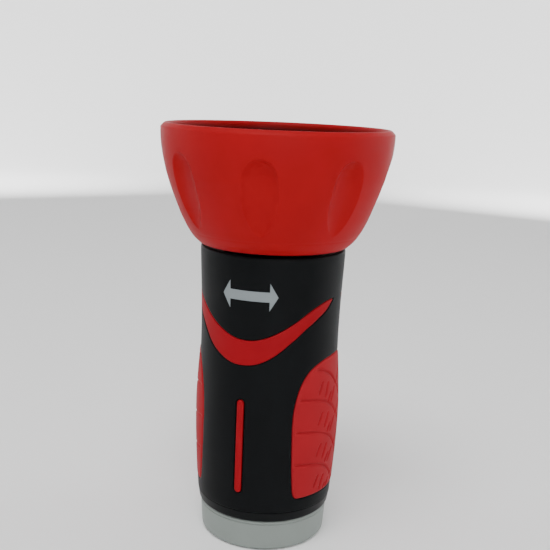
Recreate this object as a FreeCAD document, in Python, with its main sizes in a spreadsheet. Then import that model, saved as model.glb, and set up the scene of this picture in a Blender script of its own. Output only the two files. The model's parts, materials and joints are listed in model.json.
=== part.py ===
# Twist nozzle for a hose: a grip on a through barrel, a swivelling inlet
# coupling below it and a flared head that screws up and down on the neck.
# Millimetres. Z is the axis of flow, z = 0 is the mouth of the inlet,
# -Y is the front of the grip.
import os
import math
import FreeCAD, Part
from FreeCAD import Vector, Base

doc = FreeCAD.newDocument("twist_nozzle")

# ---------------------------------------------------------------- parameters
V = {
    # inlet coupling
    "inlet_bore_r": 12.3,
    "washer_seat_r": 13.9,
    "nut_base_r": 20.3,
    "nut_top_r": 22.2,
    "nut_skirt_z": 10.75,
    "nut_top_z": 12.5,
    "lip_bore_r": 11.3,
    # barrel
    "tail_r": 10.8,
    "barrel_bore_r": 7.9,
    "neck_r": 13.4,
    "neck_bore_r": 11.5,
    "neck_top_z": 122.5,
    # thread of the neck: three starts
    "thread_core_r": 16.0,
    "thread_crest_r": 17.1,
    "thread_lead": 12.0,
    "thread_top_z": 111.7,
    # plug in the outlet
    "stem_r": 2.8,
    "plug_r": 8.95,
    "plug_tip_r": 6.75,
    "plug_bore_r": 1.6,
    # grip
    "core_r": 21.3,
    "core_bore_r": 18.6,
    "grip_r": 23.38,
    "grip_bottom_z": 14.4,
    "grip_top_z": 99.8,
    "inlay_floor_r": 22.5,
    "panel_floor_r": 21.9,
    "inlay_gap": 0.12,
    # head
    "head_bottom_z": 100.7,
    "head_bore_r": 17.8,
    "seal_bore_r": 14.0,
    "sleeve_r": 21.2,
    "turret_r": 19.0,
    "turret_top_z": 127.4,
    "moat_floor_z": 113.6,
    "ring_seat_r": 16.6,
    "orifice_r": 7.0,
    "bell_r": 37.96,
    "rim_crest_r": 36.5,
    "rim_z": 139.15,
    "flute_count": 8.0,
    "tooth_count": 24.0,
}
sheet = doc.addObject("Spreadsheet::Sheet", "P")
for i, (key, number) in enumerate(V.items()):
    cell = "B%d" % (i + 1)
    sheet.set("A%d" % (i + 1), key)
    sheet.set(cell, "%g" % number)
    sheet.setAlias(cell, key)
doc.recompute()

XZ, XY, YZ = "XZ_Plane", "XY_Plane", "YZ_Plane"
nodes = {}


def val(e):
    return float(e) if isinstance(e, (int, float)) else V[e[0]] + e[1]


def txt(e):
    return "P.%s" % e[0] if not e[1] else "P.%s + %g" % e if e[1] > 0 else "P.%s - %g" % (e[0], -e[1])


def q(name, off=0.0):
    """A size taken from the sheet, plus an offset."""
    return (name, off)


def plane(body, role):
    for f in body.Origin.OriginFeatures:
        if f.Role == role:
            return f
    raise ValueError(role)


def new_body(label):
    body = doc.addObject("PartDesign::Body", label)
    body.Label = label
    return body


def new_sketch(body, name, role, off=0.0):
    sk = body.newObject("Sketcher::SketchObject", name)
    sk.AttachmentSupport = [(plane(body, role), "")]
    sk.MapMode = "FlatFace"
    if off:
        sk.AttachmentOffset = FreeCAD.Placement(Vector(0, 0, off), FreeCAD.Rotation())
    return sk


def fix(sk, geo, pos, x, y):
    """Hold one sketch point at (x, y); each size is a number or from the sheet."""
    for kind, e, axis in (("DistanceX", x, -2), ("DistanceY", y, -1)):
        v = val(e)
        if abs(v) < 1e-9:
            sk.addConstraint(Sketcher.Constraint("PointOnObject", geo, pos, axis))
            continue
        i = sk.addConstraint(Sketcher.Constraint(kind, -1, 1, geo, pos, v))
        if not isinstance(e, (int, float)):
            name = "%s_%d_%d" % (kind, geo, pos)
            sk.renameConstraint(i, name)
            sk.setExpression("Constraints." + name, txt(e))


import Sketcher


def outline(sk, pts):
    """Closed outline. An entry ("s", [...]) between two corners is a spline through those points."""
    corners = [i for i, p in enumerate(pts) if p[0] != "s"]
    geos = []
    for k, i in enumerate(corners):
        j = corners[(k + 1) % len(corners)]
        a = Vector(val(pts[i][0]), val(pts[i][1]), 0)
        b = Vector(val(pts[j][0]), val(pts[j][1]), 0)
        if i + 1 < len(pts) and pts[i + 1][0] == "s":
            c = Part.BSplineCurve()
            c.interpolate([a] + [Vector(x, y, 0) for x, y in pts[i + 1][1]] + [b])
            geos.append(sk.addGeometry(c, False))
        else:
            geos.append(sk.addGeometry(Part.LineSegment(a, b), False))
    n = len(geos)
    for k in range(n):
        sk.addConstraint(Sketcher.Constraint("Coincident", geos[k], 2, geos[(k + 1) % n], 1))
    for k, i in enumerate(corners):
        fix(sk, geos[k], 1, pts[i][0], pts[i][1])


def revolve(label, pts, angle=360.0, body=None):
    body = body or new_body(label)
    sk = new_sketch(body, label + "_profile", XZ)
    outline(sk, pts)
    rev = body.newObject("PartDesign::Revolution", label + "_turned")
    rev.Profile = sk
    rev.ReferenceAxis = (sk, ["V_Axis"])
    rev.Angle = angle
    return body


def groove_round(body, name, r, z, wire_r):
    sk = new_sketch(body, name + "_profile", XZ)
    c = sk.addGeometry(Part.Circle(Vector(r, z, 0), Vector(0, 0, 1), wire_r), False)
    fix(sk, c, 3, r, z)
    sk.addConstraint(Sketcher.Constraint("Radius", c, wire_r))
    g = body.newObject("PartDesign::Groove", name)
    g.Profile = sk
    g.ReferenceAxis = (sk, ["V_Axis"])
    g.Angle = 360.0
    return g


def rect(sk, x0, x1, y0, y1):
    outline(sk, [(x0, y0), (x1, y0), (x1, y1), (x0, y1)])


def polar(body, feature, sk, name, count, expr=None, axis="N_Axis"):
    p = body.newObject("PartDesign::PolarPattern", name)
    p.Originals = [feature]
    p.Axis = (sk, [axis])
    p.Angle = 360.0
    p.Occurrences = count
    if expr:
        p.setExpression("Occurrences", expr)
    body.Tip = p
    return p


def torus(label, r1, r2, z):
    t = doc.addObject("Part::Torus", label)
    t.Label = label
    t.Radius1 = val(r1)
    if not isinstance(r1, (int, float)):
        t.setExpression("Radius1", txt(r1))
    t.Radius2 = r2
    t.Placement = FreeCAD.Placement(Vector(0, 0, z), FreeCAD.Rotation())
    return t


def feature(label, shape):
    f = doc.addObject("Part::Feature", label)
    f.Label = label
    f.Shape = shape
    return f


# ------------------------------------------------------------- inlet coupling
# Swivel nut: plain bore at the crest of the hose thread, washer seat above it
# and a lip that hangs on the clip of the barrel's tail.
nodes["swivel_nut"] = revolve("swivel_nut", [
    (q("inlet_bore_r", 0.5), 0.0), (q("nut_base_r"), 0.0), (q("nut_base_r", 0.7), 0.35), (21.4, 1.2),
    (21.95, 9.4), (21.7, 9.55), (21.72, 9.85), (22.05, 10.0),
    (q("nut_top_r"), 10.35), (22.0, q("nut_skirt_z")), (19.7, q("nut_skirt_z")),
    (19.7, q("nut_top_z")), (q("lip_bore_r"), q("nut_top_z")), (q("lip_bore_r"), 11.2),
    (q("washer_seat_r"), 11.2), (q("washer_seat_r"), 7.2), (q("inlet_bore_r"), 7.2),
    (q("inlet_bore_r"), 0.5)])
nodes["hose_washer"] = revolve("hose_washer", [
    (8.2, 7.2), (q("washer_seat_r"), 7.2), (q("washer_seat_r"), 9.3), (8.2, 9.3)])

# Strainer: a thin perforated disc held inside the washer.
b = new_body("inlet_strainer")
sk = new_sketch(b, "strainer_outline", XY, 8.3)
c = sk.addGeometry(Part.Circle(Vector(0, 0, 0), Vector(0, 0, 1), 8.2), False)
sk.addConstraint(Sketcher.Constraint("Coincident", c, 3, -1, 1))
sk.addConstraint(Sketcher.Constraint("Radius", c, 8.2))
for row in range(-4, 5):
    for col in range(-4, 5):
        x, y = 2.1 * (col + 0.5 * (row % 2)), 1.82 * row
        if math.hypot(x, y) < 6.6:
            k = sk.addGeometry(Part.Circle(Vector(x, y, 0), Vector(0, 0, 1), 0.72), False)
            sk.addConstraint(Sketcher.Constraint("Radius", k, 0.72))
            fix(sk, k, 3, x, y)
pad = b.newObject("PartDesign::Pad", "strainer_disc")
pad.Profile = sk
pad.Length = 0.5
nodes["inlet_strainer"] = b

# ------------------------------------------------------------------- barrel
b = revolve("inner_barrel", [
    (q("barrel_bore_r"), 9.6), (q("tail_r"), 9.6), (q("tail_r"), 9.9), (9.6, 9.9), (9.6, 10.9),
    (q("tail_r"), 10.9), (q("tail_r"), q("grip_bottom_z")), (16.5, q("grip_bottom_z")),
    (16.5, 16.4), (q("tail_r"), 16.4), (q("tail_r"), 92.0), (q("neck_r"), 94.6),
    (q("neck_r"), 120.1), (12.4, 120.1), (12.4, 121.7), (q("neck_r"), 121.7),
    (q("neck_r"), q("neck_top_z")), (q("neck_bore_r"), q("neck_top_z")),
    (q("neck_bore_r"), 97.0), (q("barrel_bore_r"), 92.0)])
groove_round(b, "tail_seal_groove", 10.4, 11.85, 0.6)
nodes["inner_barrel"] = b
nodes["swivel_ring"] = revolve("swivel_ring", [
    (9.6, 9.9), (13.3, 9.9), (13.3, 10.9), (9.6, 10.9)], 330.0)
nodes["swivel_oring"] = torus("swivel_oring", 10.4, 0.6, 11.85)
nodes["neck_oring"] = torus("neck_oring", q("neck_r", -0.35), 0.65, 120.9)

# Spider: three blades across the bore that carry the stem of the plug.
b = new_body("flow_spider")
sk = new_sketch(b, "stem_section", XY, 80.0)
c = sk.addGeometry(Part.Circle(Vector(0, 0, 0), Vector(0, 0, 1), V["stem_r"]), False)
sk.addConstraint(Sketcher.Constraint("Coincident", c, 3, -1, 1))
i = sk.addConstraint(Sketcher.Constraint("Radius", c, V["stem_r"]))
sk.renameConstraint(i, "stem_radius")
sk.setExpression("Constraints.stem_radius", "P.stem_r")
pad = b.newObject("PartDesign::Pad", "stem")
pad.Profile = sk
pad.Length = 36.0
sk = new_sketch(b, "blade_section", XY, 80.0)
rect(sk, 1.5, q("barrel_bore_r", 0.05), -0.7, 0.7)
blade = b.newObject("PartDesign::Pad", "blade")
blade.Profile = sk
blade.Length = 8.0
polar(b, blade, sk, "blades", 3)
sk = new_sketch(b, "stem_hole_section", XY, 116.0)
c = sk.addGeometry(Part.Circle(Vector(0, 0, 0), Vector(0, 0, 1), 1.6), False)
sk.addConstraint(Sketcher.Constraint("Coincident", c, 3, -1, 1))
sk.addConstraint(Sketcher.Constraint("Radius", c, 1.6))
hole = b.newObject("PartDesign::Pocket", "stem_hole")
hole.Profile = sk
hole.Length = 4.0
nodes["flow_spider"] = b

b = revolve("jet_plug", [
    (q("plug_bore_r"), 116.0), (4.2, 116.0), (q("plug_r"), 120.6), (q("plug_r"), 123.2),
    (q("plug_tip_r"), 125.0), (q("plug_tip_r"), 126.2), (q("plug_tip_r", -0.4), 126.6),
    (q("plug_bore_r"), 126.6)])
groove_round(b, "plug_seal_groove", 7.47, 123.64, 0.7)
nodes["jet_plug"] = b
nodes["plug_oring"] = torus("plug_oring", 7.47, 0.7, 123.64)

b = revolve("plug_screw", [
    (0.0, 112.0), (q("plug_bore_r"), 112.0), (q("plug_bore_r"), 126.6), (3.2, 126.6),
    (3.2, 127.7), (2.6, 128.2), (0.0, 128.2)])
sk = new_sketch(b, "socket_section", XY, 128.2)
outline(sk, [(1.45 * math.cos(math.radians(60 * k + 12)), 1.45 * math.sin(math.radians(60 * k + 12)))
             for k in range(6)])
hole = b.newObject("PartDesign::Pocket", "socket")
hole.Profile = sk
hole.Length = 1.0
nodes["plug_screw"] = b

# Threaded sleeve of the neck: three ridges that rise 12 mm per turn.
core = revolve("thread_core", [
    (q("neck_r"), 96.0), (q("thread_core_r"), 96.0), (q("thread_core_r"), q("thread_top_z")),
    (q("neck_r"), q("thread_top_z"))])
doc.recompute()
PIN_Z, PIN_R = 103.9, 0.9
z_low = 101.5
helix = Part.makeHelix(V["thread_lead"], 9.15, V["thread_core_r"])
r0, r1 = V["thread_core_r"] - 0.4, V["thread_crest_r"]
prof = Part.makePolygon([Vector(r0, 0, -1.0), Vector(r1, 0, -0.6), Vector(r1, 0, 0.6),
                         Vector(r0, 0, 1.0), Vector(r0, 0, -1.0)])
sweep = Part.BRepOffsetAPI.MakePipeShell(Part.Wire(helix.Edges))
sweep.setFrenetMode(True)
sweep.add(prof)
sweep.build()
sweep.makeSolid()
ridge = sweep.shape()
# at the azimuth of a pin (-90 degrees) a ridge sits 2 mm below the pin's centre
spin0 = -90.0 + 360.0 * (z_low - (PIN_Z - 2.0)) / V["thread_lead"]
sleeve = core.Shape.copy()
for k in range(3):
    r = ridge.copy()
    r.translate(Vector(0, 0, z_low))
    r.rotate(Vector(0, 0, 0), Vector(0, 0, 1), spin0 + 120.0 * k)
    sleeve = sleeve.fuse(r)
sleeve = sleeve.removeSplitter()
nodes["thread_sleeve"] = feature("thread_sleeve", sleeve)

nodes["travel_stop_ring"] = revolve("travel_stop_ring", [
    (q("neck_r"), 111.9), (q("thread_crest_r"), 111.9), (q("thread_crest_r"), 112.4),
    (q("neck_r"), 112.4)], 335.0)

# --------------------------------------------------------------------- grip
b = revolve("grip_shell", [
    (q("core_bore_r"), 14.6), (q("core_r"), 14.6), (q("core_r"), 95.9), (q("core_bore_r"), 95.9)])
sk = new_sketch(b, "rib_section", XY, 16.8)
rect(sk, q("tail_r"), q("core_bore_r", 0.2), -0.8, 0.8)
rib = b.newObject("PartDesign::Pad", "rib")
rib.Profile = sk
rib.Length = 74.0
polar(b, rib, sk, "ribs", 6)
nodes["grip_shell"] = b

nodes["end_cap"] = revolve("end_cap", [
    (20.2, 11.1), (22.35, 11.1), (22.55, 11.35), (23.05, 14.3), (11.1, 14.3), (11.1, 12.95), (20.2, 12.95)])
nodes["top_collar"] = revolve("top_collar", [
    (16.3, 96.2), (q("core_r", -0.1), 96.2), (q("core_r", -0.1), 99.2), (20.6, 99.5),
    (16.8, 99.5), (16.3, 99.0)])

GRIP_OUT = [(23.28, 17.0), (23.38, 22.0), (23.42, 31.0), (23.42, 46.0), (23.36, 57.0), (23.3, 66.0),
            (23.27, 71.0), (23.33, 76.0), (23.46, 82.0), (23.68, 88.0), (23.9, 93.0), (24.06, 97.0)]
skin = [(q("core_r"), q("grip_bottom_z")), (22.9, q("grip_bottom_z")), (23.12, 14.7), ("s", GRIP_OUT),
        (24.1, 99.2), (23.6, q("grip_top_z")), (q("core_r"), q("grip_top_z"))]
skin_body = revolve("grip_skin", skin)
full_body = revolve("grip_envelope", [(0.0, 14.0), (22.9, 14.0), (23.12, 14.7), ("s", GRIP_OUT),
                                      (24.1, 99.2), (0.0, 99.2)])
# the side panels swell beyond the skin: a turned blank whose axis is offset
swell = [(19.3, 17.0), (19.42, 18.0), (19.8, 23.7), (20.27, 31.2), (20.57, 38.7), (20.63, 46.0),
         (20.42, 51.4), (20.09, 56.8), (19.5, 63.0), (19.2, 66.0)]
panel_body = revolve("panel_envelope", [(0.0, 16.5), (19.25, 16.5), ("s", swell), (19.0, 68.0), (0.0, 68.0)])
doc.recompute()


def on_wall(edges, floor_r, wall_r=27.0):
    """Solid with radial sides above the round floor_r; edges are runs of (azimuth from the front, z)."""
    surf = Part.Cylinder()
    surf.Radius = wall_r
    out = []
    for run in edges:
        p = [Base.Vector2d(math.radians(270.0 + a), z) for a, z in run]
        if len(p) == 2:
            out.append(Part.Geom2d.Line2dSegment(p[0], p[1]).toShape(surf))
        else:
            c = Part.Geom2d.BSplineCurve2d()
            c.interpolate(p)
            out.append(c.toShape(surf))
    face = Part.Face(surf, Part.Wire(out))
    face.validate()
    solid = face.makeOffsetShape(-(wall_r - floor_r), 1e-4, fill=True)
    if solid.Volume < 0:
        solid.reverse()
    return solid


def inset(run, g):
    """Move a run of (azimuth, z) to its left by g millimetres on the wall."""
    r = V["grip_r"]
    k = math.radians(1.0) * r
    out = []
    for i, (a, z) in enumerate(run):
        a0, z0 = run[max(i - 1, 0)]
        a1, z1 = run[min(i + 1, len(run) - 1)]
        dx, dz = (a1 - a0) * k, z1 - z0
        n = math.hypot(dx, dz)
        out.append((a - dz / n * g / k, z + dx / n * g))
    return out


def crescent(g):
    low = [(-80, 85.4), (-72, 82.4), (-64, 80.4), (-58, 78.7), (-53, 77.3), (-47, 75.4), (-42, 73.5),
           (-36, 71.0), (-30.6, 69.0), (-22.6, 66.9), (-15.7, 65.5), (-9.7, 64.7), (-4, 64.35), (1, 64.35),
           (6, 64.55), (10.7, 64.95), (15.3, 65.6), (19.8, 66.5), (24.3, 67.6), (28.9, 68.95), (33.4, 70.4),
           (37.9, 72.0), (42.7, 73.6), (47.6, 75.3), (52.7, 76.9), (58.2, 78.4), (64, 80.0), (72, 82.1),
           (80, 85.4)]
    up = [(80, 85.4), (70, 84.9), (63.3, 84.0), (57.2, 82.95), (51.8, 81.7), (46.8, 80.35), (42, 79.05),
          (37.2, 77.85), (32.6, 76.75), (28.1, 75.75), (23.6, 74.85), (19, 74.05), (14.5, 73.45), (10, 73.0),
          (5, 72.8), (0, 72.8), (-5, 73.05), (-10.7, 73.65), (-16.7, 74.65), (-23.7, 76.05), (-31.7, 77.95),
          (-42.7, 80.95), (-51, 82.9), (-60, 84.4), (-70, 85.3), (-80, 85.4)]
    if g:
        low, up = inset(low, g)[1:-1], inset(up, g)[1:-1]
        a, z = low[-1]
        tip = (78.4, 85.0)
        low = [(-tip[0], tip[1])] + low + [tip]
        up = [tip] + up + [(-tip[0], tip[1])]
    return [low, up]


def shift(edges, by):
    return [[(a + by, z) for a, z in run] for run in edges]


def stripe(g):
    w = 1.2 if g else 1.62                # half width, mm: a groove is left round the inlay
    k = math.radians(1.0) * V["grip_r"]
    lo, hi = (20.9, 52.8) if g else (20.5, 53.2)
    arc = lambda zc, t0, t1: [(w * math.cos(math.radians(t)) / k, zc + w * math.sin(math.radians(t)))
                              for t in [t0 + (t1 - t0) * i / 6.0 for i in range(7)]]
    top, bot = arc(hi - w, 0, 180), arc(lo + w, 180, 360)
    return [top, [top[-1], bot[0]], bot, [bot[-1], top[0]]]


def side_panel(g):
    """Leaf-shaped window about azimuth 0; the bottom is straight."""
    half = [(0.0, 65.8), (26.3, 64.0), (34.8, 61.7), (40.3, 58.4), (43.6, 54.9), (46.4, 49.5), (47.2, 44.0),
            (46.8, 36.0), (46.0, 28.0), (44.9, 22.6)]
    corner = [(44.9, 22.6), (44.0, 20.3), (41.4, 19.0), (38.0, 18.6)]
    right_down = inset(half, -g) if g else half
    right_corner = inset(corner, -g) if g else corner
    right_corner[0] = right_down[-1]
    rd = right_down
    left_up = [(-a, z) for a, z in reversed(rd)]
    left_corner = [(-a, z) for a, z in reversed(right_corner)]
    top = left_up[:-1] + rd
    return [top, right_corner, [right_corner[-1], left_corner[0]], left_corner]


def arrows(g=0.0):
    """Plain two-headed arrow."""
    pts = [(-18, 87.3), (-11.5, 91.8), (-11.5, 88.9), (20.5, 88.9), (20.5, 91.8), (27, 87.3), (20.5, 82.8),
           (20.5, 85.7), (-11.5, 85.7), (-11.5, 82.8)]
    return [[pts[i], pts[(i + 1) % len(pts)]] for i in range(len(pts))]


gap = V["inlay_gap"]
skin_shape = skin_body.Shape.copy()
full, bulge = full_body.Shape, panel_body.Shape
for name, turn_by in (("front", 0.0), ("rear", 180.0)):
    for kind, edges in (("crescent", crescent), ("stripe", stripe)):
        skin_shape = skin_shape.cut(on_wall(shift(edges(0.0), turn_by), V["inlay_floor_r"]))
        piece = on_wall(shift(edges(gap), turn_by), V["inlay_floor_r"]).common(full).cut(skin_shape)
        nodes["%s_%s" % (name, kind)] = feature("%s_%s" % (name, kind), piece)
for name, turn_by, offset in (("side_grip_right", 90.0, 4.06), ("side_grip_left", -90.0, -4.06)):
    skin_shape = skin_shape.cut(on_wall(shift(side_panel(0.0), turn_by), V["panel_floor_r"]))
    blank = bulge.copy()
    blank.translate(Vector(offset, 0, 0))
    piece = on_wall(shift(side_panel(gap), turn_by), V["panel_floor_r"]).common(full.fuse(blank))
    nodes[name] = feature(name, piece.removeSplitter())
skin_shape = skin_shape.cut(on_wall(arrows(), 23.3))
nodes["twist_mark"] = feature("twist_mark", on_wall(arrows(), 23.3).common(full))
nodes["grip_overmould"] = feature("grip_overmould", skin_shape)

# --------------------------------------------------------------------- head
nodes["dust_wiper"] = revolve("dust_wiper", [
    (17.5, 101.3), (19.3, 101.3), (19.3, 102.3), (17.5, 102.3)])
b = revolve("head_sleeve", [
    (19.7, 101.2), (q("sleeve_r"), 101.2), (q("sleeve_r"), 112.6), (q("turret_r"), 112.6),
    (q("turret_r"), q("turret_top_z", -0.8)), (q("turret_r", -0.8), q("turret_top_z")),
    (q("ring_seat_r"), q("turret_top_z")), (q("ring_seat_r"), 123.0), (q("seal_bore_r"), 123.0),
    (q("seal_bore_r"), 112.8), (q("head_bore_r"), 112.8), (q("head_bore_r"), 102.75), (19.7, 102.75)])
sk = new_sketch(b, "pin_hole_section", XZ)
c = sk.addGeometry(Part.Circle(Vector(0, PIN_Z, 0), Vector(0, 0, 1), PIN_R), False)
fix(sk, c, 3, 0.0, PIN_Z)
sk.addConstraint(Sketcher.Constraint("Radius", c, PIN_R))
hole = b.newObject("PartDesign::Pocket", "pin_hole")
hole.Profile = sk
hole.Length = 30.0
hole.Reversed = True
polar(b, hole, sk, "pin_holes", 3, axis="V_Axis")
nodes["head_sleeve"] = b

pins = []
for k in range(3):
    a = math.radians(-90.0 + 120.0 * k)
    d = Vector(math.cos(a), math.sin(a), 0)
    pins.append(Part.makeCylinder(PIN_R, V["sleeve_r"] - 16.35 - 0.05,
                                  Vector(0, 0, PIN_Z) + d * 16.35, d))
nodes["follower_pins"] = feature("follower_pins", Part.makeCompound(pins))

nodes["throat_gasket"] = revolve("throat_gasket", [
    (14.2, 123.0), (q("ring_seat_r"), 123.0), (q("ring_seat_r"), 123.5), (14.2, 123.5)])

# Outlet ring with a crown of teeth that breaks the fog cone.
b = revolve("spray_ring", [
    (q("orifice_r", 2.2), 123.5), (q("ring_seat_r"), 123.5), (q("ring_seat_r"), 126.8),
    (q("ring_seat_r", -0.4), 127.2), (q("orifice_r", 1.6), 127.2), (q("orifice_r"), 126.4),
    (q("orifice_r"), 125.3)])
sk = new_sketch(b, "tooth_section", XY, 127.1)
outline(sk, [(9.6, -0.55), (12.4, -0.8), (12.4, 0.8), (9.6, 0.55)])
tooth = b.newObject("PartDesign::Pad", "tooth")
tooth.Profile = sk
tooth.Length = 1.7
polar(b, tooth, sk, "teeth", 24, "P.tooth_count")
nodes["spray_ring"] = b

# Bell: flared rubber bumper, hollow in front, with shallow teardrop flutes outside.
BELL = [(25.45, 101.5), (26.55, 102.6), (27.56, 103.9), (28.7, 105.7), (29.72, 107.6), (30.67, 109.5),
        (31.52, 111.4), (32.32, 113.4), (33.11, 115.4), (33.87, 117.4), (34.57, 119.3), (35.21, 121.3),
        (35.82, 123.2), (36.31, 125.2), (36.75, 127.1), (37.14, 129.0), (37.47, 130.9), (37.72, 132.8),
        (37.88, 134.7)]
LIP = [(37.88, 137.95), (37.62, 138.3), (37.1, 138.8)]
LIP_IN = [(35.55, 138.85), (35.05, 138.3)]
HOLLOW = [(34.4, 134.5), (33.5, 130.0), (32.1, 125.0), (30.2, 120.0), (28.2, 116.6), (25.8, 114.5)]
bell = revolve("bell_blank", [
    (q("sleeve_r"), q("head_bottom_z", 0.3)), (22.2, q("head_bottom_z")), (24.0, q("head_bottom_z")),
    ("s", [(24.6, 100.85), (25.0, 101.1)]), (25.2, 101.3), ("s", BELL), (q("bell_r"), 137.4),
    ("s", LIP), (q("rim_crest_r"), q("rim_z")), ("s", LIP_IN), (34.85, 137.3), ("s", HOLLOW),
    (22.8, q("moat_floor_z")), (q("turret_r"), q("moat_floor_z")), (q("turret_r"), 112.6),
    (q("sleeve_r"), 112.6)])
doc.recompute()
# each flute: round sections along the flank, given by height, depth and half width
FLUTE = [(107.0, 0.0, 0.0), (109.2, 0.55, 2.6), (111.6, 0.95, 3.9), (114.6, 1.2, 5.0), (118.1, 1.4, 5.6),
         (122.1, 1.6, 5.7), (125.6, 1.7, 5.3), (128.2, 1.35, 4.4), (130.6, 0.0, 0.0)]


def flank(z):
    for (r0, z0), (r1, z1) in zip(BELL, BELL[1:]):
        if z0 <= z <= z1:
            return r0 + (r1 - r0) * (z - z0) / (z1 - z0)
    raise ValueError(z)


slope = (flank(130.6) - flank(107.0)) / (130.6 - 107.0)
norm = math.hypot(1.0, slope)
out_dir, up_dir = Vector(1.0 / norm, 0, -slope / norm), Vector(slope / norm, 0, 1.0 / norm)
rings = []
for z, deep, wide in [(105.2, -0.9, 0.0)] + FLUTE + [(131.7, -1.6, 0.0)]:
    r = flank(z)
    if wide:
        e = deep - wide * wide / (2.0 * r)
        rho = (wide * wide + e * e) / (2.0 * e)
    else:
        rho = 4.5
    rings.append(Part.Wire(Part.makeCircle(rho, Vector(r, 0, z) + out_dir * (rho - deep), up_dir)))
tool = Part.makeLoft(rings, True, False)
bell_shape = bell.Shape.copy()
count = int(V["flute_count"])
for k in range(count):
    t = tool.copy()
    t.rotate(Vector(0, 0, 0), Vector(0, 0, 1), -90.0 + 14.0 + 360.0 * k / count)
    bell_shape = bell_shape.cut(t)
nodes["bell_bumper"] = feature("bell_bumper", bell_shape)

# ------------------------------------------------------------ check and write
doc.recompute()
ORDER = ["swivel_nut", "hose_washer", "inlet_strainer", "inner_barrel", "swivel_ring", "swivel_oring",
         "neck_oring", "flow_spider", "jet_plug", "plug_oring", "plug_screw", "thread_sleeve",
         "travel_stop_ring", "grip_shell", "end_cap", "top_collar", "grip_overmould", "side_grip_left",
         "side_grip_right", "front_crescent", "rear_crescent", "front_stripe", "rear_stripe", "twist_mark",
         "dust_wiper", "head_sleeve", "follower_pins", "throat_gasket", "spray_ring", "bell_bumper"]
assert sorted(ORDER) == sorted(nodes), set(ORDER) ^ set(nodes)
for o in doc.Objects:
    bad = [s for s in o.State if s in ("Invalid", "Error")]
    if bad:
        raise RuntimeError("%s is %s" % (o.Label, bad))
os.makedirs("parts", exist_ok=True)
for name in ORDER:
    shape = nodes[name].Shape
    if shape.isNull() or not shape.isValid():
        raise RuntimeError("bad shape " + name)
    b = shape.BoundBox
    print("%-18s %d solid(s) vol %9.1f  x %.2f..%.2f  y %.2f..%.2f  z %.2f..%.2f" % (
        name, len(shape.Solids), shape.Volume, b.XMin, b.XMax, b.YMin, b.YMax, b.ZMin, b.ZMax))
    shape.exportStep("parts/%s.step" % name)
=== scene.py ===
import json
import math
import bpy
import numpy as np
from mathutils import Matrix, Vector


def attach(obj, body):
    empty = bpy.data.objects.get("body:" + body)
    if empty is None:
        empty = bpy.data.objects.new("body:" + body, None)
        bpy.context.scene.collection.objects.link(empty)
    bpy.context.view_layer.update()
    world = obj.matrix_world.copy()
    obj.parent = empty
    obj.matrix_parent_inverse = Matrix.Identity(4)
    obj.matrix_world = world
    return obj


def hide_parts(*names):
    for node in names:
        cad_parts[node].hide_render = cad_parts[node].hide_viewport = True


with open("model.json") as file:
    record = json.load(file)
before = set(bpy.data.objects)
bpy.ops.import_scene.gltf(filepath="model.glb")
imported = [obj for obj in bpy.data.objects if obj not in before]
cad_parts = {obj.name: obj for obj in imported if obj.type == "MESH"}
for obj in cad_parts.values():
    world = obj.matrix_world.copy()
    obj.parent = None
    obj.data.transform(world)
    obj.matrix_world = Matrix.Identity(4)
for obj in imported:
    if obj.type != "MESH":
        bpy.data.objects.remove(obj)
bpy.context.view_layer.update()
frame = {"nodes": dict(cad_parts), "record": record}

MM = 0.001
nodes = frame["nodes"]
CAM_AZ = 21.5                      # degrees from the front of the grip


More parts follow.
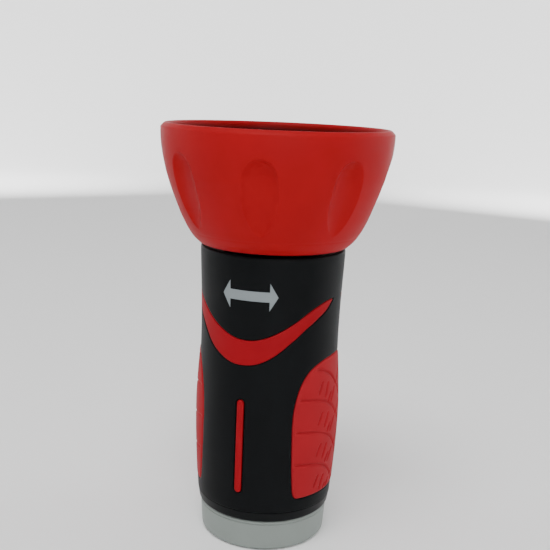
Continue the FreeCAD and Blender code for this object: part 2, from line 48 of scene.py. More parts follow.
# ------------------------------------------------------------------ materials
def material(name, base, rough, grain=0.0, grain_scale=1800.0, wear=0.0, wear_tint=(0.6, 0.6, 0.6), metal=0.0,
             spec=0.5, sheen=0.0, brushed=False, blotch=0.06, coat=0.0, turned=False):
    """Procedural finish: fine grain in the bump, slow drift in colour and roughness, worn convex edges."""
    m = bpy.data.materials.new(name)
    m.use_nodes = True
    nt = m.node_tree
    nt.nodes.clear()
    N, L = nt.nodes.new, nt.links.new
    out = N("ShaderNodeOutputMaterial")
    b = N("ShaderNodeBsdfPrincipled")
    L(b.outputs[0], out.inputs[0])
    b.inputs["Metallic"].default_value = metal
    b.inputs["Specular IOR Level"].default_value = spec
    if sheen:
        b.inputs["Sheen Weight"].default_value = sheen
        b.inputs["Sheen Roughness"].default_value = 0.45
        b.inputs["Sheen Tint"].default_value = (1, 1, 1, 1)
    if coat:
        b.inputs["Coat Weight"].default_value = coat
        b.inputs["Coat Roughness"].default_value = 0.25
    tc = N("ShaderNodeTexCoord")
    mp = N("ShaderNodeMapping")
    L(tc.outputs["Object"], mp.inputs[0])
    slow = N("ShaderNodeTexNoise")
    slow.inputs["Scale"].default_value = 55.0
    slow.inputs["Detail"].default_value = 5.0
    slow.inputs["Roughness"].default_value = 0.6
    L(mp.outputs[0], slow.inputs["Vector"])
    # colour drift
    ramp = N("ShaderNodeValToRGB")
    lo, hi = 1.0 - blotch, 1.0 + blotch
    ramp.color_ramp.elements[0].position = 0.3
    ramp.color_ramp.elements[0].color = (base[0] * lo, base[1] * lo, base[2] * lo, 1)
    ramp.color_ramp.elements[1].position = 0.72
    ramp.color_ramp.elements[1].color = (min(base[0] * hi, 1), min(base[1] * hi, 1), min(base[2] * hi, 1), 1)
    L(slow.outputs[0], ramp.inputs[0])
    colour = ramp.outputs[0]
    # roughness drift
    mr = N("ShaderNodeMapRange")
    mr.inputs["From Min"].default_value = 0.3
    mr.inputs["From Max"].default_value = 0.7
    mr.inputs["To Min"].default_value = max(rough - 0.05, 0.02)
    mr.inputs["To Max"].default_value = min(rough + 0.06, 1.0)
    L(slow.outputs[0], mr.inputs["Value"])
    L(mr.outputs[0], b.inputs["Roughness"])
    if wear:
        geo = N("ShaderNodeNewGeometry")
        wr = N("ShaderNodeMapRange")
        wr.inputs["From Min"].default_value = 0.53
        wr.inputs["From Max"].default_value = 0.62
        L(geo.outputs["Pointiness"], wr.inputs["Value"])
        mul = N("ShaderNodeMath")
        mul.operation = "MULTIPLY"
        mul.inputs[1].default_value = wear
        L(wr.outputs[0], mul.inputs[0])
        mix = N("ShaderNodeMix")
        mix.data_type = "RGBA"
        L(mul.outputs[0], mix.inputs[0])
        L(colour, mix.inputs[6])
        mix.inputs[7].default_value = (*wear_tint, 1)
        colour = mix.outputs[2]
    L(colour, b.inputs["Base Color"])
    normal = None
    if grain:
        fine = N("ShaderNodeTexNoise")
        fine.inputs["Scale"].default_value = grain_scale
        fine.inputs["Detail"].default_value = 3.0
        if brushed or turned:
            m2 = N("ShaderNodeMapping")
            m2.inputs["Scale"].default_value = (0.06, 0.06, 1.6) if turned else (1.0, 0.05, 0.05)
            L(tc.outputs["Object"], m2.inputs[0])
            L(m2.outputs[0], fine.inputs["Vector"])
        else:
            L(mp.outputs[0], fine.inputs["Vector"])
        bump = N("ShaderNodeBump")
        bump.inputs["Strength"].default_value = grain
        bump.inputs["Distance"].default_value = 0.00006
        L(fine.outputs[0], bump.inputs["Height"])
        normal = bump
        pits = N("ShaderNodeTexVoronoi")
        pits.inputs["Scale"].default_value = grain_scale * 0.55
        L(mp.outputs[0], pits.inputs["Vector"])
        bump2 = N("ShaderNodeBump")
        bump2.inputs["Strength"].default_value = grain * 0.5
        bump2.inputs["Distance"].default_value = 0.00005
        L(pits.outputs["Distance"], bump2.inputs["Height"])
        L(bump.outputs[0], bump2.inputs["Normal"])
        normal = bump2
    if normal:
        L(normal.outputs[0], b.inputs["Normal"])
    return m


MAT = {
    "red_rubber": material("red_rubber_skin", (0.30, 0.0046, 0.0078), 0.48, 0.22, 2300, 0.06, (0.38, 0.02, 0.02), spec=0.06),
    "red_inlay": material("red_inlay_skin", (0.255, 0.0050, 0.0100), 0.46, 0.20, 2600, 0.05, (0.32, 0.02, 0.02), spec=0.05),
    "red_grip": material("red_grip_skin", (0.29, 0.0095, 0.0150), 0.60, 0.50, 1500, 0.08, (0.4, 0.05, 0.06), spec=0.06,
                         sheen=0.02),
    "black_rubber": material("black_skin", (0.0022, 0.0028, 0.0033), 0.46, 0.30, 2100, 0.08, (0.02, 0.02, 0.02), spec=0.08,
                             blotch=0.12),
    "black_plastic": material("black_plastic_skin", (0.0024, 0.0030, 0.0034), 0.38, 0.18, 1600, 0.08, (0.02, 0.02, 0.02),
                              spec=0.10),
    "dark_plastic": material("dark_plastic_skin", (0.007, 0.007, 0.0075), 0.42, 0.22, 1500, 0.08, (0.03, 0.03, 0.03), spec=0.2),
    "grey_plastic": material("grey_plastic_skin", (0.205, 0.232, 0.216), 0.42, 0.16, 1700, 0.04, (0.3, 0.32, 0.3), spec=0.2,
                             blotch=0.03),
    "black_seal": material("seal_skin", (0.014, 0.014, 0.014), 0.6, 0.3, 2400, spec=0.3),
    "steel": material("steel_skin", (0.62, 0.61, 0.60), 0.30, 0.35, 900, metal=1.0, turned=True),
    "barrel_metal": material("barrel_skin", (0.66, 0.66, 0.68), 0.34, 0.45, 800, metal=1.0, turned=True),
    "brass_plug": material("brass_skin", (0.72, 0.55, 0.26), 0.28, 0.4, 900, metal=1.0, turned=True),
    "print_grey": material("print_skin", (0.20, 0.23, 0.24), 0.5, 0.15, 2500, spec=0.2),
}


def paint_shade_inside(m):
    """Painted shade: darker colour inside the bell, by height and radius of the point on the object, standing in for
    the shadow on the inner wall.
    """
    nt = m.node_tree
    N, L = nt.nodes.new, nt.links.new
    b = next(n for n in nt.nodes if n.type == "BSDF_PRINCIPLED")
    src = b.inputs["Base Color"].links[0].from_socket

    def math_node(op, x, y):
        n = N("ShaderNodeMath")
        n.operation = op
        for i, v in enumerate((x, y)):
            if isinstance(v, (int, float)):
                n.inputs[i].default_value = v
            else:
                L(v, n.inputs[i])
        return n.outputs[0]

    tc = N("ShaderNodeTexCoord")
    sep = N("ShaderNodeSeparateXYZ")
    L(tc.outputs["Object"], sep.inputs[0])
    r = math_node("SQRT", math_node("ADD", math_node("MULTIPLY", sep.outputs[0], sep.outputs[0]),
                                    math_node("MULTIPLY", sep.outputs[1], sep.outputs[1])), 0.0)
    mid = math_node("ADD", math_node("MULTIPLY", sep.outputs[2], 0.265), 0.0364 - 0.265 * 0.1373)
    # painted shade mask: inner wall of the bell, below the crest and above its floor
    inside = math_node("LESS_THAN", r, mid)
    deep = N("ShaderNodeMapRange")
    deep.inputs["From Min"].default_value = 0.1388
    deep.inputs["From Max"].default_value = 0.1362
    L(sep.outputs[2], deep.inputs["Value"])
    above = math_node("GREATER_THAN", sep.outputs[2], 0.1125)
    f = math_node("MULTIPLY", math_node("MULTIPLY", inside, deep.outputs[0]), above)
    mix = N("ShaderNodeMix")
    mix.data_type = "RGBA"
    L(f, mix.inputs[0])
    L(src, mix.inputs[6])
    # painted shade colour: dark red standing in for the shadow inside the bell
    mix.inputs[7].default_value = (0.045, 0.0012, 0.0012, 1)
    L(mix.outputs[2], b.inputs["Base Color"])


# painted shade on the inside of the bell
paint_shade_inside(MAT["red_rubber"])


# ------------------------------------------------------------------ mesh tools
def make_mesh(name, co, quads, slot, body, tris=()):
    """Mesh from points in millimetres; faces as index rows."""
    me = bpy.data.meshes.new(name)
    co = np.asarray(co, float) * MM
    quads = np.asarray(quads, np.int32).reshape(-1, 4)
    tris = np.asarray(tris, np.int32).reshape(-1, 3)
    me.vertices.add(len(co))
    me.vertices.foreach_set("co", co.astype(np.float32).ravel())
    loops = np.concatenate([quads.ravel(), tris.ravel()])
    me.loops.add(len(loops))
    me.loops.foreach_set("vertex_index", loops)
    starts = np.concatenate([np.arange(len(quads)) * 4, len(quads) * 4 + np.arange(len(tris)) * 3])
    me.polygons.add(len(starts))
    me.polygons.foreach_set("loop_start", starts.astype(np.int32))
    me.polygons.foreach_set("use_smooth", np.ones(len(starts), bool))
    me.update(calc_edges=True)
    me.validate()
    o = bpy.data.objects.new(name, me)
    bpy.context.collection.objects.link(o)
    me.materials.append(MAT[slot])
    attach(o, body)
    return o


def ring_faces(nv, nu, loop_v=True):
    """Quads of a grid that closes on itself along u, and along v too if loop_v."""
    v = np.arange(nv if loop_v else nv - 1)[:, None]
    u = np.arange(nu)[None, :]
    v2, u2 = (v + 1) % nv, (u + 1) % nu
    return np.stack([v * nu + u, v * nu + u2, v2 * nu + u2, v2 * nu + u], -1).reshape(-1, 4)


def resample(pts, step, closed=True, sharp=None):
    """Points spaced about step along an outline; corners stay. Rows are (r, z)."""
    pts = [tuple(p) for p in pts]
    out = []
    n = len(pts)
    for i in range(n if closed else n - 1):
        a, b = np.array(pts[i]), np.array(pts[(i + 1) % n])
        k = max(1, int(math.ceil(np.linalg.norm(b - a) / step)))
        for j in range(k):
            out.append(a + (b - a) * j / k)
    if not closed:
        out.append(np.array(pts[-1]))
    return np.array(out)


def spline(pts, step):
    """Smooth curve through the points (centripetal), sampled about every step."""
    p = np.asarray(pts, float)
    t = np.r_[0, np.cumsum(np.sqrt(np.linalg.norm(np.diff(p, axis=0), axis=1)))]
    n = len(p)
    # natural cubic spline per coordinate
    h = np.diff(t)
    A = np.zeros((n, n))
    A[0, 0] = A[-1, -1] = 1
    for i in range(1, n - 1):
        A[i, i - 1], A[i, i], A[i, i + 1] = h[i - 1], 2 * (h[i - 1] + h[i]), h[i]
    out = []
    length = np.linalg.norm(np.diff(p, axis=0), axis=1).sum()
    m = max(2, int(length / step) + 1)
    tt = np.linspace(0, t[-1], m)
    k = np.clip(np.searchsorted(t, tt, side="right") - 1, 0, n - 2)
    for c in range(p.shape[1]):
        y = p[:, c]
        rhs = np.zeros(n)
        for i in range(1, n - 1):
            rhs[i] = 6 * ((y[i + 1] - y[i]) / h[i] - (y[i] - y[i - 1]) / h[i - 1])
        M = np.linalg.solve(A, rhs)
        a, b = t[k + 1] - tt, tt - t[k]
        out.append(M[k] * a ** 3 / (6 * h[k]) + M[k + 1] * b ** 3 / (6 * h[k])
                   + (y[k] / h[k] - M[k] * h[k] / 6) * a + (y[k + 1] / h[k] - M[k + 1] * h[k] / 6) * b)
    return np.stack(out, 1)


def smooth(x):
    x = np.clip(x, 0, 1)
    return x * x * (3 - 2 * x)


def lathe(name, outline, nu, slot, body, shape=None):
    """Closed outline of (r, z) turned about Z; shape(r, z, az) may return displaced r, z. az in degrees from the front."""
    outline = np.asarray(outline)
    az = np.linspace(0, 360, nu, endpoint=False)
    R = np.repeat(outline[:, 0][:, None], nu, 1)
    Z = np.repeat(outline[:, 1][:, None], nu, 1)
    A = np.repeat(az[None, :], len(outline), 0)
    if shape:
        R, Z = shape(R, Z, A)
    a = np.radians(A)
    co = np.stack([R * np.sin(a), -R * np.cos(a), Z], -1).reshape(-1, 3)
    return make_mesh(name, co, ring_faces(len(outline), nu), slot, body)


def round_corners(pts, radii, n=6):
    """Outline of (r, z) with the corner i rounded by radii[i]."""
    out = []
    N = len(pts)
    for i, p in enumerate(pts):
        rad = radii.get(i, 0.0) if isinstance(radii, dict) else radii
        p = np.array(p, float)
        a, b = np.array(pts[i - 1], float) - p, np.array(pts[(i + 1) % N], float) - p
        la, lb = np.linalg.norm(a), np.linalg.norm(b)
        if rad <= 0 or la < 1e-6 or lb < 1e-6:
            out.append(p)
            continue
        a, b = a / la, b / lb
        ang = math.acos(np.clip(a @ b, -1, 1))
        if ang > math.radians(176):
            out.append(p)
            continue
        cut = min(rad / math.tan(ang / 2), la * 0.45, lb * 0.45)
        r = cut * math.tan(ang / 2)
        c = p + (a + b) / np.linalg.norm(a + b) * r / math.sin(ang / 2)
        s, e = p + a * cut, p + b * cut
        for j in range(n + 1):
            t = j / n
            q = s * (1 - t) + e * t - c
            out.append(c + q / np.linalg.norm(q) * r)
    return out


# --------------------------------------------------------------------- bell
BELL = [(25.2, 101.35), (26.1, 102.15), (27.0, 103.15), (27.9, 104.4), (28.9, 106.0), (29.8, 107.75), (30.67, 109.5),
        (31.52, 111.4), (32.32, 113.4), (33.11, 115.4), (33.87, 117.4), (34.57, 119.3), (35.21, 121.3), (35.82, 123.2),
        (36.31, 125.2), (36.75, 127.1), (37.14, 129.0), (37.47, 130.9), (37.72, 132.8), (37.88, 134.7), (37.95, 136.4)]
outer = spline(BELL, 0.34)
corner = spline([(37.95, 136.4), (37.955, 137.3), (37.94, 137.62), (37.86, 137.84), (37.68, 138.08)], 0.14)
crest = spline([(37.05, 138.72), (36.84, 138.90), (36.62, 139.04), (36.38, 139.11), (35.95, 139.03), (35.45, 138.72),
                (35.05, 138.15), (34.85, 137.3)], 0.2)
lip = np.concatenate([corner, resample([tuple(corner[-1]), tuple(crest[0])], 0.25, closed=False)[1:-1], crest])
inner = spline([(34.85, 137.3), (34.4, 134.5), (33.5, 130.0), (32.1, 125.0), (30.2, 120.0), (28.2, 116.6), (25.8, 114.5),
                (22.8, 113.65)], 0.7)
floor_in = resample([(22.8, 113.65), (19.05, 113.62), (19.05, 112.7), (21.25, 112.7), (21.25, 101.1)], 1.2, closed=False)
foot = spline([(21.25, 101.1), (21.6, 100.78), (22.4, 100.71), (23.6, 100.71), (24.4, 100.80), (24.85, 101.0), (25.2, 101.35)], 0.3)
bell_outline = np.concatenate([outer[:-1], lip[:-1], inner[:-1], floor_in[:-1], foot[:-1]])
n_outer = len(outer) - 1
FLUTES = 8
FLUTE_AZ0 = 14.0
FLUTE = np.array([(107.4, 0.0, 0.0), (108.3, 0.25, 1.7), (109.6, 0.55, 2.6), (112.0, 0.95, 3.9), (115.0, 1.2, 5.0),
                  (118.5, 1.42, 5.6), (122.5, 1.65, 5.7), (126.0, 1.75, 5.35), (128.2, 1.55, 4.6), (129.8, 0.95, 3.5),
                  (130.7, 0.42, 2.1), (131.2, 0.0, 0.0)])


def flute_depth(R, Z, A):
    """Oval dish: deepest near its upper end, with a crisp brim."""
    width = np.interp(Z, FLUTE[:, 0] - 0.45, FLUTE[:, 2]) + 1e-6
    deep = np.interp(Z, FLUTE[:, 0] - 0.45, FLUTE[:, 1])
    k = (A - FLUTE_AZ0) / (360.0 / FLUTES)
    du = (k - np.round(k)) * (360.0 / FLUTES) * np.pi / 180 * R
    x = np.abs(du) / width
    return np.where(x < 1, 1.18 * deep * (1 - x ** 2.3), 0.0)


def bell_shape(R, Z, A):
    d = np.zeros_like(R)
    d[:n_outer] = flute_depth(R[:n_outer], Z[:n_outer], A[:n_outer])
    # parting line low on the flare
    line = np.exp(-((Z - 104.85) / 0.16) ** 2) * 0.10
    line[n_outer:] = 0
    return R - d - line, Z + d * 0.25


bell = lathe("bell_visual", bell_outline, 960, "red_rubber", "head", bell_shape)
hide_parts("bell_bumper")

# --------------------------------------------------------------------- grip
GRIP = [(23.12, 14.7), (23.28, 17.0), (23.38, 22.0), (23.42, 31.0), (23.42, 46.0), (23.36, 57.0), (23.3, 66.0),
        (23.27, 71.0), (23.33, 76.0), (23.46, 82.0), (23.68, 88.0), (23.9, 93.0), (24.06, 97.0), (24.1, 98.8)]
gs = spline(GRIP, 0.3)


def grip_r(z):
    return np.interp(z, gs[:, 1], gs[:, 0])


LOW = [(-80, 85.4), (-72, 82.4), (-64, 80.4), (-58, 78.7), (-53, 77.3), (-47, 75.4), (-42, 73.5), (-36, 71.0),
       (-30.6, 69.0), (-22.6, 66.9), (-15.7, 65.5), (-9.7, 64.7), (-4, 64.35), (1, 64.35), (6, 64.55), (10.7, 64.95),
       (15.3, 65.6), (19.8, 66.5), (24.3, 67.6), (28.9, 68.95), (33.4, 70.4), (37.9, 72.0), (42.7, 73.6), (47.6, 75.3),
       (52.7, 76.9), (58.2, 78.4), (64, 80.0), (72, 82.1), (80, 85.4)]
UP = [(-80, 85.4), (-70, 85.3), (-60, 84.4), (-51, 82.9), (-42.7, 80.95), (-31.7, 77.95), (-23.7, 76.05), (-16.7, 74.65),
      (-10.7, 73.65), (-5, 73.05), (0, 72.8), (5, 72.8), (10, 73.0), (14.5, 73.45), (19, 74.05), (23.6, 74.85),
      (28.1, 75.75), (32.6, 76.75), (37.2, 77.85), (42, 79.05), (46.8, 80.35), (51.8, 81.7), (57.2, 82.95), (63.3, 84.0),
      (70, 84.9), (80, 85.4)]
low_s, up_s = spline(LOW, 0.5), spline(UP, 0.5)
K = math.radians(1.0) * 23.4              # mm of wall per degree


def crescent_edges(a):
    return np.interp(a, low_s[:, 0], low_s[:, 1]), np.interp(a, up_s[:, 0], up_s[:, 1])


PANEL = spline([(0.0, 65.8), (14.0, 65.45), (26.3, 64.0), (34.8, 61.7), (40.3, 58.4), (43.6, 54.9), (46.4, 49.5),
                (47.2, 44.0), (46.8, 36.0), (46.0, 28.0), (45.1, 23.0), (44.3, 20.6), (42.6, 19.2), (39.5, 18.62)], 0.4)
order = np.argsort(PANEL[:, 1])


def panel_half(z):
    """Half-width of the side panel in degrees at height z."""
    return np.interp(z, PANEL[order, 1], PANEL[order, 0])


ST_W, ST_LO, ST_HI = 1.2, 20.9, 52.8      # the inlay; its slot is wider by ST_GAP
ST_GAP = 0.42


def poly_distance(px, pz, poly):
    """Signed distance (negative inside) from points to a closed polygon, both in millimetres on the unrolled wall."""
    d = np.full(px.shape, 1e9)
    inside = np.zeros(px.shape, bool)
    n = len(poly)
    for i in range(n):
        ax, az_ = poly[i]
        bx, bz = poly[(i + 1) % n]
        ex, ez = bx - ax, bz - az_
        t = np.clip(((px - ax) * ex + (pz - az_) * ez) / (ex * ex + ez * ez + 1e-12), 0, 1)
        d = np.minimum(d, (px - ax - t * ex) ** 2 + (pz - az_ - t * ez) ** 2)
        cond = (az_ > pz) != (bz > pz)
        with np.errstate(divide="ignore", invalid="ignore"):
            xi = ax + (pz - az_) * ex / (ez if ez else 1e-12)
        inside ^= cond & (px < xi)
    return np.where(inside, -np.sqrt(d), np.sqrt(d))


a_s = np.linspace(-79.8, 79.8, 110)
lo_e, up_e = crescent_edges(a_s)
CRES = np.concatenate([np.stack([a_s * K, lo_e], 1), np.stack([a_s[::-1] * K, up_e[::-1]], 1)])
t_ = np.linspace(0, np.pi, 14)
SW = ST_W + ST_GAP
STRIPE = np.concatenate([np.stack([SW * np.cos(t_), ST_HI - ST_W + SW * np.sin(t_)], 1),
                         np.stack([-SW * np.cos(t_), ST_LO + ST_W - SW * np.sin(t_)], 1)])
z_p = np.linspace(18.62, 65.78, 90)
PANEL_POLY = np.concatenate([np.stack([panel_half(z_p) * K, z_p], 1), np.stack([-panel_half(z_p)[::-1] * K, z_p[::-1]], 1)])

side = resample([tuple(p) for p in gs], 0.3, closed=False)
rim_top = spline([(24.1, 98.8), (24.05, 99.3), (23.8, 99.65), (23.4, 99.8)], 0.15)
inner_wall = resample([(23.4, 99.8), (21.3, 99.8), (21.3, 14.42), (22.85, 14.42)], 2.5, closed=False)
toe = spline([(22.85, 14.42), (23.02, 14.48), (23.12, 14.7)], 0.1)
grip_outline = np.concatenate([side[:-1], rim_top[:-1], inner_wall[:-1], toe[:-1]])
n_side = len(side) - 1


def recess(d, depth, soft=0.32):
    """Depth of a pocket below the skin at signed distance d from its outline."""
    return depth * smooth((0.22 - d) / soft)


def grip_shape(R, Z, A):
    Rn = R.copy()
    r, z, a = R[:n_side], Z[:n_side], A[:n_side]
    cut = np.zeros_like(r)
    for turn in (0.0, 180.0):
        x = ((a - turn + 180) % 360 - 180) * K
        for poly, dep, zlo, zhi in ((CRES, 0.7, 62, 88), (STRIPE, 0.8, 19, 55)):
            sel = (z > zlo) & (z < zhi) & (np.abs(x) < 34)
            d = np.full(r.shape, 9.0)
            d[sel] = poly_distance(x[sel], z[sel], poly)
            cut = np.maximum(cut, recess(d, dep) if poly is CRES else dep * smooth((0.05 - d) / 0.22))
    for turn in (90.0, -90.0):
        x = ((a - turn + 180) % 360 - 180) * K
        sel = (z > 16.5) & (z < 68) & (np.abs(x) < 22)
        d = np.full(r.shape, 9.0)
        d[sel] = poly_distance(x[sel], z[sel], PANEL_POLY)
        cut = np.maximum(cut, recess(d, 1.1))
    Rn[:n_side] = r - cut
    return Rn, Z


grip = lathe("grip_visual", grip_outline, 560, "black_rubber", "barrel", grip_shape)
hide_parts("grip_overmould")


def slab(name, X, Zm, top, base_r, turn, slot, body):
    """Closed piece on the round wall: X, Zm are grids (mm on the wall, height), top the outer radius."""
    nv, nu = X.shape
    a = np.radians(X / K + turn)
    up_co = np.stack([top * np.sin(a), -top * np.cos(a), Zm], -1)
    rb = np.full_like(top, base_r)
    dn_co = np.stack([rb * np.sin(a), -rb * np.cos(a), Zm], -1)
    co = np.concatenate([up_co.reshape(-1, 3), dn_co.reshape(-1, 3)])
    v = np.arange(nv - 1)[:, None]
    u = np.arange(nu - 1)[None, :]
    f = np.stack([v * nu + u, v * nu + u + 1, (v + 1) * nu + u + 1, (v + 1) * nu + u], -1).reshape(-1, 4)
    back = f[:, ::-1] + nv * nu
    edge = np.concatenate([np.arange(nu), np.arange(1, nv) * nu + nu - 1, (nv - 1) * nu + np.arange(nu - 2, -1, -1),
                           np.arange(nv - 2, 0, -1) * nu])
    nxt = np.roll(edge, -1)
    wall = np.stack([nxt, edge, edge + nv * nu, nxt + nv * nu], -1)
    return make_mesh(name, co, np.concatenate([f, back, wall]), slot, body)


def edge_spread(n, power=0.55):
    """Parameter from -1 to 1 that is denser near both ends."""
    t = np.linspace(-1, 1, n)
    return np.sign(t) * (1 - (1 - np.abs(t)) ** (1 / power)) * 0.75 + t * 0.25


def brow(d, width=0.45, drop=0.3):
    """Drop of a rounded edge at distance d inside the outline."""
    x = np.clip(1 - d / width, 0, 1)
    return drop * (1 - np.sqrt(np.clip(1 - x * x, 0, 1)))


# crescents
for side_name, turn in (("front", 0.0), ("rear", 180.0)):
    s = np.linspace(-78.6, 78.6, 260)
    lo, hi = crescent_edges(s)
    t = edge_spread(34)
    lo_in, hi_in = lo + 0.10, hi - 0.10
    mid, half = (lo_in + hi_in) / 2, np.maximum((hi_in - lo_in) / 2, 0.02)
    X = np.repeat((s * K)[None, :], len(t), 0)
    Zm = mid[None, :] + half[None, :] * t[:, None]
    d = -poly_distance(X, Zm, CRES)
    top = grip_r(Zm) + 0.02 - brow(np.maximum(d - 0.08, 0), 0.5, 0.28)
    o = slab(side_name + "_crescent_visual", X, Zm, top, 22.62, turn, "red_inlay", "barrel")
    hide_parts(side_name + "_crescent")
    # stripe
    zz = np.concatenate([ST_LO + ST_W - ST_W * np.cos(np.linspace(0.03, np.pi / 2, 12)),
                         np.linspace(ST_LO + ST_W, ST_HI - ST_W, 90)[1:-1],
                         ST_HI - ST_W + ST_W * np.sin(np.linspace(0, np.pi / 2 - 0.03, 12))])
    w = np.full(zz.shape, ST_W)
    lowm, him = zz < ST_LO + ST_W, zz > ST_HI - ST_W
    w[lowm] = np.sqrt(np.clip(ST_W ** 2 - (ST_LO + ST_W - zz[lowm]) ** 2, 0.0004, None))
    w[him] = np.sqrt(np.clip(ST_W ** 2 - (zz[him] - ST_HI + ST_W) ** 2, 0.0004, None))
    t = edge_spread(18)
    X = w[:, None] * t[None, :]
    Zm = np.repeat(zz[:, None], len(t), 1)
    d = -poly_distance(X, Zm, STRIPE) - ST_GAP
    top = grip_r(Zm) + 0.05 - brow(np.maximum(d, 0), 0.45, 0.3)
    o = slab(side_name + "_stripe_visual", X, Zm, top, 22.62, turn, "red_inlay", "barrel")
    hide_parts(side_name + "_stripe")

# raised mark: a plain two-headed arrow
ARROW_Z, HEAD_H, SHAFT_H = 87.3, 4.5, 1.6
s = np.concatenate([np.linspace(-17.9, -11.5, 16), np.linspace(-11.46, 20.46, 60), np.linspace(20.5, 26.9, 16)])
h = np.where(s < -11.48, (s + 18.0) / 6.5 * HEAD_H, np.where(s > 20.48, (27.0 - s) / 6.5 * HEAD_H, SHAFT_H))
t = np.linspace(-1, 1, 15)
X = np.repeat((s * K)[None, :], len(t), 0)
Zm = ARROW_Z + h[None, :] * t[:, None]
mark = slab("twist_mark_visual", X, Zm, grip_r(Zm) + 0.09, 23.32, 0.0, "print_grey", "barrel")
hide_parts("twist_mark")

# side panels
SWELL = spline([(0.0, 17.0), (0.12, 18.0), (0.48, 23.7), (0.92, 31.2), (1.20, 38.7), (1.26, 46.0), (1.06, 51.4),
                (0.76, 56.8), (0.30, 63.0), (0.04, 66.0)], 0.5)
GROOVES = (63.6, 53.3, 42.3, 31.0, 19.8)


def stroke(dx, z, x0, z0, x1, z1, w):
    """1 on a slanted dimple from (x0, z0) to (x1, z1), fading to 0 at w."""
    ex, ez = x1 - x0, z1 - z0
    t = np.clip(((dx - x0) * ex + (z - z0) * ez) / (ex * ex + ez * ez), 0, 1)
    d = np.hypot(dx - x0 - t * ex, z - z0 - t * ez)
    return smooth(1 - d / (w * (0.55 + 0.9 * t * (1 - t))))


for side_name, turn in (("right", 90.0), ("left", -90.0)):
    zz = np.concatenate([np.linspace(18.74, 21.5, 22)[:-1], np.linspace(21.5, 58, 175)[:-1], 65.68 - 7.68 * np.linspace(1, 0, 60) ** 1.7])
    t = edge_spread(150, 0.8)
    half = np.maximum(panel_half(zz) * K - 0.12, 0.05)
    X = half[:, None] * t[None, :]
    Zm = np.repeat(zz[:, None], len(t), 1)
    d = -poly_distance(X, Zm, PANEL_POLY)
    across = np.clip(np.abs(X) / (47.0 * K), 0, 1)
    swell = np.interp(Zm, SWELL[:, 1], SWELL[:, 0]) * (1 - across ** 2.4)
    dx = np.abs(X)
    dent = np.zeros_like(X)
    for g in GROOVES:
        line = g - 8.2 * np.exp(-dx / (13 * K))
        run = np.abs(Zm - line)
        dent = np.maximum(dent, 0.55 * smooth(1 - run / 0.72) * smooth((d - 0.6) / 1.6))
        z0 = line * 0 + g - 10.9
        for x0, a0, x1, a1, w in ((13, 4.6, 17, 0.0, 0.85), (9, 0.9, 13, -1.9, 0.7), (3.2, 2.0, 9, -2.2, 0.75),
                                  (20, 5.2, 24, 1.4, 0.7)):
            dent = np.maximum(dent, 0.62 * stroke(dx, Zm, x0 * K, g - 10.9 + a0, x1 * K, g - 10.9 + a1, w)
                              * smooth((d - 0.5) / 1.0))
    if side_name == "left":
        dent = dent * 0.45                # its outline is smooth where it is seen edge on
    top = grip_r(Zm) + 0.06 + swell - dent - brow(np.maximum(d - 0.1, 0), 0.9, 0.45)
    o = slab("side_grip_%s_visual" % side_name, X, Zm, top, 22.0, turn, "red_grip", "barrel")
    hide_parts("side_grip_" + side_name)

# ------------------------------------------------------------------- coupling
P_THREAD = 25.4 / 11.5
wall = np.array(round_corners([(12.8, 0.0), (20.3, 0.0), (21.35, 1.0), (21.93, 9.42), (21.68, 9.56), (21.70, 9.84),
                               (22.05, 9.98), (22.17, 10.4), (21.95, 10.75), (19.7, 10.75), (19.7, 12.45), (11.35, 12.45),
                               (11.35, 11.2), (13.9, 11.2), (13.9, 7.2), (12.3, 7.2), (12.3, 0.5)],
                              {0: 0.2, 1: 0.5, 2: 0.9, 3: 0.12, 6: 0.15, 7: 0.25, 8: 0.2, 9: 0.1, 10: 0.2, 11: 0.2, 16: 0.0}))
wall = resample(wall, 0.35)
bore = (np.abs(wall[:, 0] - 12.3) < 1e-4) & (wall[:, 1] < 7.21) & (wall[:, 1] > 0.49)


def nut_shape(R, Z, A):
    Rn = R.copy()
    ph = (Z / P_THREAD - A / 360.0) % 1.0
    tri = 1 - np.abs(ph - 0.5) * 2
    fade = smooth((Z - 0.5) / 1.0) * smooth((7.2 - Z) / 0.8)
    Rn[bore] = (R + 1.05 * smooth(tri * 1.5 - 0.25) * fade)[bore]
    return Rn, Z


nut = lathe("coupling_visual", wall, 480, "grey_plastic", "coupling", nut_shape)
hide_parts("swivel_nut")

cap = np.array(round_corners([(20.2, 11.12), (22.4, 11.12), (22.58, 11.5), (23.02, 14.3), (11.15, 14.3), (11.15, 12.95), (20.2, 12.95)],
                             {0: 0.1, 1: 0.15, 2: 0.3, 3: 0.15}))
cap_o = lathe("end_cap_visual", resample(cap, 0.5), 360, "black_plastic", "barrel")
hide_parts("end_cap")

# finish of the CAD pieces that stay
SLOT_OF = {s["node"]: s["material_slot"] for s in frame["record"]["subparts"]}
for name, o in nodes.items():
    o.data.materials.clear()
    o.data.materials.append(MAT[SLOT_OF[name]])

# ---------------------------------------------------------------------- stage
def plain(name, colour, rough):
    m = bpy.data.materials.new(name)
    m.use_nodes = True
    b = m.node_tree.nodes["Principled BSDF"]
    b.inputs["Base Color"].default_value = (*colour, 1)
    b.inputs["Roughness"].default_value = rough
    b.inputs["Specular IOR Level"].default_value = 0.2
    return m


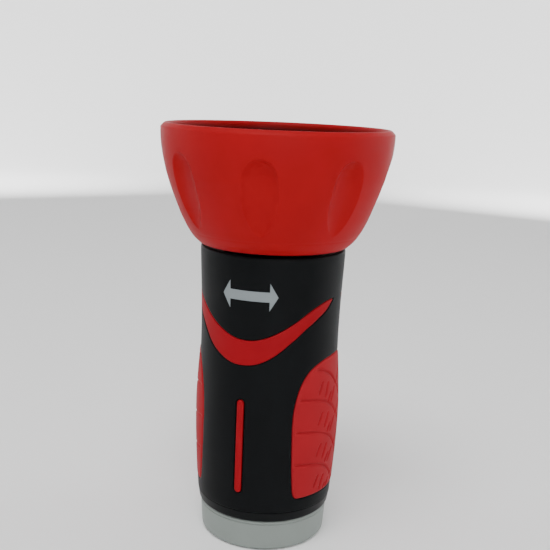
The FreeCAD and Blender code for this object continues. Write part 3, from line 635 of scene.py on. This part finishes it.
n = 128
sweep = [(0.0, 0.0), (0.3, 0.0), (0.7, 0.0), (1.3, 0.0)]
sweep += [(1.3 + 0.9 * math.sin(math.radians(b)), 0.9 - 0.9 * math.cos(math.radians(b))) for b in range(5, 91, 5)]
sweep += [(2.2, 1.2), (2.2, 1.9)]
co = [(0.0, 0.0, 0.0)]
for r, z in sweep[1:]:
    co += [(r * math.cos(2 * math.pi * i / n), r * math.sin(2 * math.pi * i / n), z) for i in range(n)]
faces = [(0, 1 + i, 1 + (i + 1) % n) for i in range(n)]
for k in range(len(sweep) - 2):
    b0, b1 = 1 + k * n, 1 + (k + 1) * n
    faces += [(b0 + i, b1 + i, b1 + (i + 1) % n, b0 + (i + 1) % n) for i in range(n)]
me = bpy.data.meshes.new("floor")
me.from_pydata(co, [], faces)
me.polygons.foreach_set("use_smooth", np.ones(len(me.polygons), bool))
floor = bpy.data.objects.new("floor", me)
bpy.context.collection.objects.link(floor)
me.materials.append(plain("floor_pale", (0.90, 0.90, 0.90), 0.8))

world = bpy.data.worlds.new("studio")
bpy.context.scene.world = world
world.use_nodes = True
bg = world.node_tree.nodes["Background"]
bg.inputs[0].default_value = (1.0, 1.0, 1.0, 1)
bg.inputs[1].default_value = 0.5


def area(name, az, el, dist, size, power, target=(0, 0, 0.075), size_y=None):
    d = bpy.data.lights.new(name, "AREA")
    d.energy = power
    d.shape = "RECTANGLE"
    d.size, d.size_y = size, size_y or size
    o = bpy.data.objects.new(name, d)
    bpy.context.collection.objects.link(o)
    a, e = math.radians(az), math.radians(el)
    p = Vector(target) + Vector((math.sin(a) * math.cos(e), -math.cos(a) * math.cos(e), math.sin(e))) * dist
    o.location = p
    o.rotation_euler = (Vector(target) - p).to_track_quat("-Z", "Y").to_euler()
    o.visible_camera = False
    return o


area("front_key", CAM_AZ + 10, 12, 1.1, 0.45, 3.7)
area("top_soft", CAM_AZ - 20, 66, 0.9, 0.45, 6.0)
area("right_edge", CAM_AZ + 98, 12, 0.9, 0.30, 2.3, size_y=0.7)
area("left_edge", CAM_AZ - 100, 12, 0.9, 0.30, 1.5, size_y=0.7)
for side_name, off in (("a", 150.0), ("b", 210.0)):      # on the backdrop
    w = math.radians(CAM_AZ + off)
    o = area("backdrop_" + side_name, CAM_AZ + off, 24, 1.0, 0.6, 19.0,
             target=(0, 0, 0.075))
    o.rotation_euler = Vector((math.sin(w), -math.cos(w), -0.05)).to_track_quat("-Z", "Y").to_euler()

# --------------------------------------------------------------------- camera
F_PX, DIST, HEIGHT, PITCH, ROLL, YAW = 865.44, 0.28459, 0.14964, 11.919, 2.394, -0.19
a = math.radians(CAM_AZ)
a2 = math.radians(CAM_AZ + YAW)
pitch, roll = math.radians(PITCH), math.radians(ROLL)
fw = Vector((-math.sin(a2), math.cos(a2), 0))
rt = Vector((math.cos(a2), math.sin(a2), 0))
up = Vector((0, 0, 1))
F = fw * math.cos(pitch) - up * math.sin(pitch)
U = fw * math.sin(pitch) + up * math.cos(pitch)
R2 = rt * math.cos(roll) + U * math.sin(roll)
U2 = -rt * math.sin(roll) + U * math.cos(roll)
cam_data = bpy.data.cameras.new("camera")
cam_data.sensor_width = 36.0
cam_data.lens = 36.0 * F_PX / 550.0
cam_data.clip_start = 0.01
cam = bpy.data.objects.new("camera", cam_data)
bpy.context.collection.objects.link(cam)
rot = Matrix((R2, U2, -F)).transposed()
cam.matrix_world = Matrix.Translation((math.sin(a) * DIST, -math.cos(a) * DIST, HEIGHT)) @ rot.to_4x4()
bpy.context.scene.camera = cam
